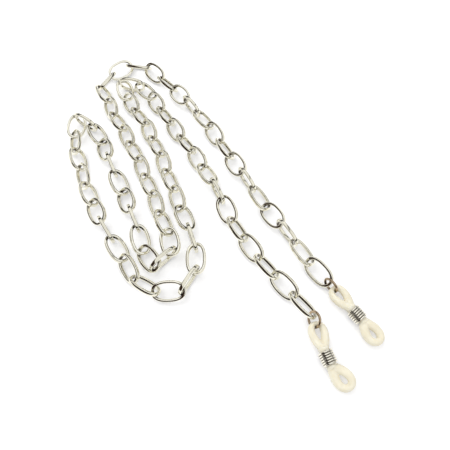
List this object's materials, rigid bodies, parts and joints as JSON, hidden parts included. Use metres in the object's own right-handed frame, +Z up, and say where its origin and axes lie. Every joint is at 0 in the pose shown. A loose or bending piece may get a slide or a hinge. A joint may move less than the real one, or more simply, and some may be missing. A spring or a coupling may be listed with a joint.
{
  "type": "eyeglass retainer strap",
  "caption": "Plated flat-wire oval-link chain strap for glasses, with a small ring, a silicone figure-eight temple loop and a coil sleeve at each end.",
  "frame": {"origin": "middle of the strap's footprint, at the height of the table it lies on", "axes": "+Y from the two silicone ends towards the far folds of the chain, along its longest extent; +Z up from the table"},
  "size_m": [0.1056, 0.128, 0.0067],
  "materials": {
    "chain_plate": "warm silver plate, polished",
    "ring_plate": "warm silver plate, polished round wire",
    "sleeve_plate": "warm silver plate, polished spring wire",
    "silicone": "milky translucent silicone, satin"
  },
  "bodies": {
    "link_01": {"link_01": "chain_plate"},
    "link_02": {"link_02": "chain_plate"},
    "link_03": {"link_03": "chain_plate"},
    "link_04": {"link_04": "chain_plate"},
    "link_05": {"link_05": "chain_plate"},
    "link_06": {"link_06": "chain_plate"},
    "link_07": {"link_07": "chain_plate"},
    "link_08": {"link_08": "chain_plate"},
    "link_09": {"link_09": "chain_plate"},
    "link_10": {"link_10": "chain_plate"},
    "link_11": {"link_11": "chain_plate"},
    "link_12": {"link_12": "chain_plate"},
    "link_13": {"link_13": "chain_plate"},
    "link_14": {"link_14": "chain_plate"},
    "link_15": {"link_15": "chain_plate"},
    "link_16": {"link_16": "chain_plate"},
    "link_17": {"link_17": "chain_plate"},
    "links_18_19": {"links_18_19": "chain_plate"},
    "links_20_21": {"links_20_21": "chain_plate"},
    "links_22_23": {"links_22_23": "chain_plate"},
    "links_24_25": {"links_24_25": "chain_plate"},
    "links_26_27": {"links_26_27": "chain_plate"},
    "links_28_29": {"links_28_29": "chain_plate"},
    "link_30": {"link_30": "chain_plate"},
    "links_31_32": {"links_31_32": "chain_plate"},
    "links_33_34": {"links_33_34": "chain_plate"},
    "links_35_36": {"links_35_36": "chain_plate"},
    "links_37_38": {"links_37_38": "chain_plate"},
    "links_39_40": {"links_39_40": "chain_plate"},
    "links_41_42": {"links_41_42": "chain_plate"},
    "links_43_44": {"links_43_44": "chain_plate"},
    "links_45_46": {"links_45_46": "chain_plate"},
    "link_47": {"link_47": "chain_plate"},
    "links_48_49": {"links_48_49": "chain_plate"},
    "links_50_51": {"links_50_51": "chain_plate"},
    "links_52_53": {"links_52_53": "chain_plate"},
    "links_54_55": {"links_54_55": "chain_plate"},
    "links_56_57": {"links_56_57": "chain_plate"},
    "links_58_59": {"links_58_59": "chain_plate"},
    "links_60_61": {"links_60_61": "chain_plate"},
    "link_62": {"link_62": "chain_plate"},
    "link_63": {"link_63": "chain_plate"},
    "link_64": {"link_64": "chain_plate"},
    "link_65": {"link_65": "chain_plate"},
    "link_66": {"link_66": "chain_plate"},
    "link_67": {"link_67": "chain_plate"},
    "link_68": {"link_68": "chain_plate"},
    "link_69": {"link_69": "chain_plate"},
    "link_70": {"link_70": "chain_plate"},
    "link_71": {"link_71": "chain_plate"},
    "link_72": {"link_72": "chain_plate"},
    "link_73": {"link_73": "chain_plate"},
    "link_74": {"link_74": "chain_plate"},
    "link_75": {"link_75": "chain_plate"},
    "right_jump_ring": {"right_jump_ring": "ring_plate"},
    "right_silicone_loop": {"right_silicone_loop": "silicone"},
    "right_coil_sleeve": {"right_coil_sleeve": "sleeve_plate"},
    "left_jump_ring": {"left_jump_ring": "ring_plate"},
    "left_silicone_loop": {"left_silicone_loop": "silicone"},
    "left_coil_sleeve": {"left_coil_sleeve": "sleeve_plate"}
  },
  "joints": [
    {"name": "end_left_ring_lift", "type": "hinge", "parent": "link_75", "child": "left_jump_ring", "pos_m": [0.03259, -0.04346, 0.00279], "axis": [-0.9744, -0.225, 0], "range_deg": [0, 19]},
    {"name": "end_left_loop_swing", "type": "hinge", "parent": "left_jump_ring", "child": "left_silicone_loop", "pos_m": [0.03298, -0.04514, 0.00279], "axis": [0, 0, 1], "range_deg": [-12, 12]},
    {"name": "end_left_sleeve_slide", "type": "slide", "parent": "left_silicone_loop", "child": "left_coil_sleeve", "axis": [0.342, -0.9397, 0], "range_m": [-0.0003, 0.0008]},
    {"name": "end_right_ring_lift", "type": "hinge", "parent": "link_01", "child": "right_jump_ring", "pos_m": [0.03856, -0.03307, 0.00279], "axis": [-0.7986, -0.6018, 0], "range_deg": [0, 30]},
    {"name": "end_right_loop_swing", "type": "hinge", "parent": "right_jump_ring", "child": "right_silicone_loop", "pos_m": [0.03959, -0.03445, 0.00279], "axis": [0, 0, 1], "range_deg": [-12, 12]},
    {"name": "end_right_sleeve_slide", "type": "slide", "parent": "right_silicone_loop", "child": "right_coil_sleeve", "axis": [0.6018, -0.7986, 0], "range_m": [-0.0003, 0.0008]},
    {"name": "flex_01_02", "type": "hinge", "parent": "link_02", "child": "link_01", "pos_m": [0.03315, -0.02596, 0.00279], "axis": [0.8197, 0.5728, 0], "range_deg": [-30, 30]},
    {"name": "flex_74_75", "type": "hinge", "parent": "link_74", "child": "link_75", "pos_m": [0.0272, -0.03653, 0.00279], "axis": [-0.7685, -0.6399, 0], "range_deg": [-30, 30]},
    {"name": "flex_02_03", "type": "hinge", "parent": "link_03", "child": "link_02", "pos_m": [0.02884, -0.01922, 0.00335], "axis": [0.8441, 0.5361, 0], "range_deg": [-24, 24]},
    {"name": "flex_73_74", "type": "hinge", "parent": "link_73", "child": "link_74", "pos_m": [0.02202, -0.0305, 0.00279], "axis": [0.7685, 0.6399, 0], "range_deg": [-30, 30]},
    {"name": "flex_03_04", "type": "hinge", "parent": "link_04", "child": "link_03", "pos_m": [0.02456, -0.01246, 0.00335], "axis": [-0.8441, -0.5361, 0], "range_deg": [-20, 20]},
    {"name": "flex_72_73", "type": "hinge", "parent": "link_72", "child": "link_73", "pos_m": [0.01713, -0.02424, 0.00279], "axis": [0.8288, 0.5596, 0], "range_deg": [-30, 30]},
    {"name": "flex_04_05", "type": "hinge", "parent": "link_05", "child": "link_04", "pos_m": [0.02028, -0.00569, 0.00219], "axis": [-0.858, -0.5136, 0], "range_deg": [-30, 30]},
    {"name": "flex_71_72", "type": "hinge", "parent": "link_71", "child": "link_72", "pos_m": [0.01255, -0.01774, 0.00279], "axis": [-0.8288, -0.5596, 0], "range_deg": [-30, 30]},
    {"name": "flex_05_06", "type": "hinge", "parent": "link_06", "child": "link_05", "pos_m": [0.01615, 0.00117, 0.00335], "axis": [0.858, 0.5136, 0], "range_deg": [-20, 20]},
    {"name": "flex_70_71", "type": "hinge", "parent": "link_70", "child": "link_71", "pos_m": [0.00871, -0.01078, 0.00279], "axis": [-0.8991, -0.4377, 0], "range_deg": [-30, 30]},
    {"name": "flex_06_07", "type": "hinge", "parent": "link_07", "child": "link_06", "pos_m": [0.01222, 0.00815, 0.00335], "axis": [0.8775, 0.4796, 0], "range_deg": [-24, 24]},
    {"name": "flex_69_70", "type": "hinge", "parent": "link_69", "child": "link_70", "pos_m": [0.00561, -0.00347, 0.00335], "axis": [0.8991, 0.4377, 0], "range_deg": [-24, 24]},
    {"name": "flex_07_08", "type": "hinge", "parent": "link_08", "child": "link_07", "pos_m": [0.00837, 0.01517, 0.00279], "axis": [-0.8775, -0.4796, 0], "range_deg": [-30, 30]},
    {"name": "flex_68_69", "type": "hinge", "parent": "link_68", "child": "link_69", "pos_m": [0.00213, 0.00368, 0.00335], "axis": [0.8837, 0.468, 0], "range_deg": [-26, 26]},
    {"name": "flex_08_09", "type": "hinge", "parent": "link_09", "child": "link_08", "pos_m": [0.00463, 0.02225, 0.00279], "axis": [-0.8552, -0.5183, 0], "range_deg": [-30, 30]},
    {"name": "flex_67_68", "type": "hinge", "parent": "link_67", "child": "link_68", "pos_m": [-0.0015, 0.01075, 0.00279], "axis": [-0.8837, -0.468, 0], "range_deg": [-30, 30]},
    {"name": "flex_09_10", "type": "hinge", "parent": "link_10", "child": "link_09", "pos_m": [0.00056, 0.02914, 0.00279], "axis": [0.8552, 0.5183, 0], "range_deg": [-30, 30]},
    {"name": "flex_66_67", "type": "hinge", "parent": "link_66", "child": "link_67", "pos_m": [-0.00554, 0.01759, 0.00279], "axis": [-0.8475, -0.5307, 0], "range_deg": [-30, 30]},
    {"name": "flex_10_11", "type": "hinge", "parent": "link_11", "child": "link_10", "pos_m": [-0.00406, 0.03568, 0.00335], "axis": [0.7989, 0.6015, 0], "range_deg": [-24, 24]},
    {"name": "flex_65_66", "type": "hinge", "parent": "link_65", "child": "link_66", "pos_m": [-0.00991, 0.02423, 0.00279], "axis": [0.8475, 0.5307, 0], "range_deg": [-30, 30]},
    {"name": "flex_11_12", "type": "hinge", "parent": "link_12", "child": "link_11", "pos_m": [-0.00881, 0.04212, 0.00335], "axis": [-0.7989, -0.6015, 0], "range_deg": [-22, 22]},
    {"name": "flex_64_65", "type": "hinge", "parent": "link_64", "child": "link_65", "pos_m": [-0.01415, 0.03095, 0.00279], "axis": [0.8463, 0.5327, 0], "range_deg": [-30, 30]},
    {"name": "flex_12_13", "type": "hinge", "parent": "link_13", "child": "link_12", "pos_m": [-0.01388, 0.04831, 0.00279], "axis": [-0.743, -0.6693, 0], "range_deg": [-30, 30]},
    {"name": "flex_63_64", "type": "hinge", "parent": "link_63", "child": "link_64", "pos_m": [-0.01824, 0.03776, 0.00279], "axis": [-0.8463, -0.5327, 0], "range_deg": [-30, 30]},
    {"name": "flex_13_14", "type": "hinge", "parent": "link_14", "child": "link_13", "pos_m": [-0.01932, 0.05458, 0.00279], "axis": [0.743, 0.6693, 0], "range_deg": [-30, 30]},
    {"name": "flex_62_63", "type": "hinge", "parent": "link_62", "child": "link_63", "pos_m": [-0.0226, 0.0444, 0.00279], "axis": [-0.6345, -0.7729, 0], "range_deg": [-28, 28]},
    {"name": "flex_14_15", "type": "hinge", "parent": "link_15", "child": "link_14", "pos_m": [-0.02526, 0.06038, 0.00279], "axis": [0.1037, 0.9946, 0], "range_deg": [-20, 20]},
    {"name": "flex_15_16", "type": "hinge", "parent": "link_16", "child": "link_15", "pos_m": [-0.03317, 0.06161, 0.00279], "axis": [-0.1037, -0.9946, 0], "range_deg": [-20, 20]},
    {"name": "flex_16_17", "type": "hinge", "parent": "link_17", "child": "link_16", "pos_m": [-0.03948, 0.05668, 0.00279], "axis": [0.9504, -0.3109, 0], "range_deg": [-26, 26]},
    {"name": "flex_17_18_19", "type": "hinge", "parent": "links_18_19", "child": "link_17", "pos_m": [-0.04329, 0.0493, 0.00279], "axis": [-0.9504, 0.3109, 0], "range_deg": [-8, 8]},
    {"name": "flex_18_19_20_21", "type": "hinge", "parent": "links_20_21", "child": "links_18_19", "pos_m": [-0.03614, 0.03498, 0.00279], "axis": [-0.8872, -0.4614, 0], "range_deg": [-30, 30]},
    {"name": "flex_20_21_22_23", "type": "hinge", "parent": "links_22_23", "child": "links_20_21", "pos_m": [-0.02824, 0.02106, 0.00279], "axis": [0.8872, 0.4614, 0], "range_deg": [-30, 30]},
    {"name": "flex_22_23_24_25", "type": "hinge", "parent": "links_24_25", "child": "links_22_23", "pos_m": [-0.02144, 0.00656, 0.00279], "axis": [0.92, 0.392, 0], "range_deg": [-30, 30]},
    {"name": "flex_24_25_26_27", "type": "hinge", "parent": "links_26_27", "child": "links_24_25", "pos_m": [-0.01533, -0.00825, 0.00279], "axis": [-0.92, -0.392, 0], "range_deg": [-30, 30]},
    {"name": "flex_26_27_28_29", "type": "hinge", "parent": "links_28_29", "child": "links_26_27", "pos_m": [-0.01021, -0.02243, 0.00335], "axis": [0.1404, 0.9901, 0], "range_deg": [-8, 8]},
    {"name": "flex_28_29_30", "type": "hinge", "parent": "link_30", "child": "links_28_29", "pos_m": [-0.01976, -0.0219, 0.00219], "axis": [-0.1404, -0.9901, 0], "range_deg": [-8, 8]},
    {"name": "flex_30_31_32", "type": "hinge", "parent": "links_31_32", "child": "link_30", "pos_m": [-0.022, -0.01422, 0.00335], "axis": [-0.9212, -0.3891, 0], "range_deg": [-30, 30]},
    {"name": "flex_31_32_33_34", "type": "hinge", "parent": "links_33_34", "child": "links_31_32", "pos_m": [-0.02876, 0.0003, 0.00219], "axis": [0.9212, 0.3891, 0], "range_deg": [-30, 30]},
    {"name": "flex_33_34_35_36", "type": "hinge", "parent": "links_35_36", "child": "links_33_34", "pos_m": [-0.0356, 0.01478, 0.00335], "axis": [0.8281, 0.5607, 0], "range_deg": [-30, 30]},
    {"name": "flex_35_36_37_38", "type": "hinge", "parent": "links_37_38", "child": "links_35_36", "pos_m": [-0.04319, 0.02885, 0.00335], "axis": [-0.8281, -0.5607, 0], "range_deg": [-30, 30]},
    {"name": "flex_60_61_62", "type": "hinge", "parent": "links_60_61", "child": "link_62", "pos_m": [-0.0273, 0.04972, 0.00335], "axis": [0.6345, 0.7729, 0], "range_deg": [-30, 30]},
    {"name": "flex_58_59_60_61", "type": "hinge", "parent": "links_58_59", "child": "links_60_61", "pos_m": [-0.03224, 0.04414, 0.00279], "axis": [-0.891, -0.4539, 0], "range_deg": [-30, 30]},
    {"name": "flex_56_57_58_59", "type": "hinge", "parent": "links_56_57", "child": "links_58_59", "pos_m": [-0.02383, 0.03052, 0.00279], "axis": [0.891, 0.4539, 0], "range_deg": [-30, 30]},
    {"name": "flex_54_55_56_57", "type": "hinge", "parent": "links_54_55", "child": "links_56_57", "pos_m": [-0.01692, 0.01608, 0.00279], "axis": [0.9287, 0.3707, 0], "range_deg": [-30, 30]},
    {"name": "flex_52_53_54_55", "type": "hinge", "parent": "links_52_53", "child": "links_54_55", "pos_m": [-0.01124, 0.00111, 0.00279], "axis": [-0.9287, -0.3707, 0], "range_deg": [-30, 30]},
    {"name": "flex_50_51_52_53", "type": "hinge", "parent": "links_50_51", "child": "links_52_53", "pos_m": [-0.00545, -0.01383, 0.00335], "axis": [-0.998, -0.0638, 0], "range_deg": [-30, 30]},
    {"name": "flex_48_49_50_51", "type": "hinge", "parent": "links_48_49", "child": "links_50_51", "pos_m": [-0.00239, -0.02848, 0.00335], "axis": [0.998, 0.0638, 0], "range_deg": [-30, 30]},
    {"name": "flex_47_48_49", "type": "hinge", "parent": "link_47", "child": "links_48_49", "pos_m": [-0.01453, -0.03562, 0.00279], "axis": [-0.4835, -0.8753, 0], "range_deg": [-30, 30]},
    {"name": "flex_45_46_47", "type": "hinge", "parent": "links_45_46", "child": "link_47", "pos_m": [-0.02135, -0.03143, 0.00279], "axis": [0.4835, 0.8753, 0], "range_deg": [-30, 30]},
    {"name": "flex_43_44_45_46", "type": "hinge", "parent": "links_43_44", "child": "links_45_46", "pos_m": [-0.0301, -0.01801, 0.00335], "axis": [0.8631, 0.505, 0], "range_deg": [-30, 30]},
    {"name": "flex_41_42_43_44", "type": "hinge", "parent": "links_41_42", "child": "links_43_44", "pos_m": [-0.03855, -0.00441, 0.00279], "axis": [-0.8631, -0.505, 0], "range_deg": [-30, 30]},
    {"name": "flex_39_40_41_42", "type": "hinge", "parent": "links_39_40", "child": "links_41_42", "pos_m": [-0.04499, 0.01023, 0.00279], "axis": [-0.9712, -0.2384, 0], "range_deg": [-30, 30]},
    {"name": "flex_37_38_39_40", "type": "hinge", "parent": "links_37_38", "child": "links_39_40", "pos_m": [-0.04958, 0.02554, 0.00279], "axis": [0.9712, 0.2384, 0], "range_deg": [-30, 30]}
  ]
}
